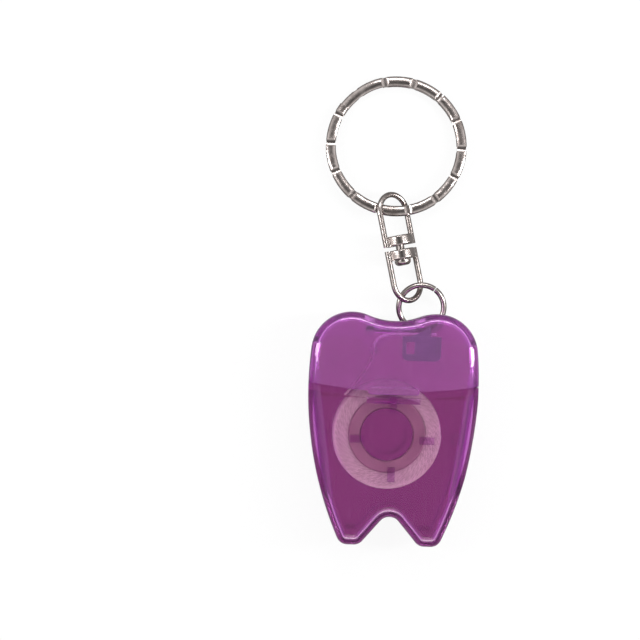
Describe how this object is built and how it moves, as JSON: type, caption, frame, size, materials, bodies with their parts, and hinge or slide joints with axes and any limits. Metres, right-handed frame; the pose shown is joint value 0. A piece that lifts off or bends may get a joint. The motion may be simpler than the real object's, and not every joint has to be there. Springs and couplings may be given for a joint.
{
  "type": "dental floss dispenser",
  "caption": "Tooth-shaped see-through dental floss dispenser with a flip lid, a floss spool and a cutter, on a swivel key chain with a split ring.",
  "frame": {"origin": "on the back face, on the tooth's middle plane, level with the lower half of the spool", "axes": "+X to the right seen from the front, +Y from the roots to the key ring, +Z out of the front face"},
  "size_m": [0.0354, 0.0989, 0.014],
  "materials": {
    "clear_purple": "see-through moulded plastic, glossy",
    "steel": "stamped, bright",
    "white_plastic": "moulded, satin",
    "floss": "waxed thread",
    "nickel": "bright nickel plating"
  },
  "bodies": {
    "case": {"rear_shell": "clear_purple", "front_shell": "clear_purple", "lid_hinge_pin": "steel", "cutter": "steel", "floss_strand": "floss"},
    "lid": {"lid": "clear_purple"},
    "spool": {"spool_core": "white_plastic", "floss_pack": "floss", "floss_outer_turns": "floss"},
    "jump_ring": {"jump_ring": "nickel"},
    "swivel_lower": {"swivel_lower_bracket": "nickel"},
    "swivel_upper": {"swivel_upper_bracket": "nickel", "swivel_rivet": "nickel"},
    "key_ring": {"split_ring": "nickel"}
  },
  "joints": [
    {"name": "lid_hinge", "type": "hinge", "parent": "case", "child": "lid", "pos_m": [0, 0.0232, 0.00675], "axis": [-1, 0, 0], "range_deg": [0, 54]},
    {"name": "spool_turn", "type": "hinge", "parent": "case", "child": "spool", "pos_m": [-0.00105, 0.00095, 0], "axis": [0, 0, 1], "continuous": true},
    {"name": "jump_ring_swing", "type": "hinge", "parent": "case", "child": "jump_ring", "pos_m": [0.0058, 0.02775, 0.00234], "axis": [0, -0.1743, 0.9847], "range_deg": [-30, 30]},
    {"name": "swivel_lift", "type": "hinge", "parent": "jump_ring", "child": "swivel_lower", "pos_m": [0.00288, 0.0315, 0.003], "axis": [0.7934, 0.5994, 0.1061], "range_deg": [0, 38]},
    {"name": "swivel_turn", "type": "hinge", "parent": "swivel_lower", "child": "swivel_upper", "pos_m": [0.00087, 0.04032, 0.003], "axis": [-0.2215, 0.9751, 0], "continuous": true},
    {"name": "key_ring_lift", "type": "hinge", "parent": "swivel_upper", "child": "key_ring", "pos_m": [-0.00088, 0.04803, 0.003], "axis": [0.9998, -0.0192, 0], "range_deg": [0, 70]}
  ]
}
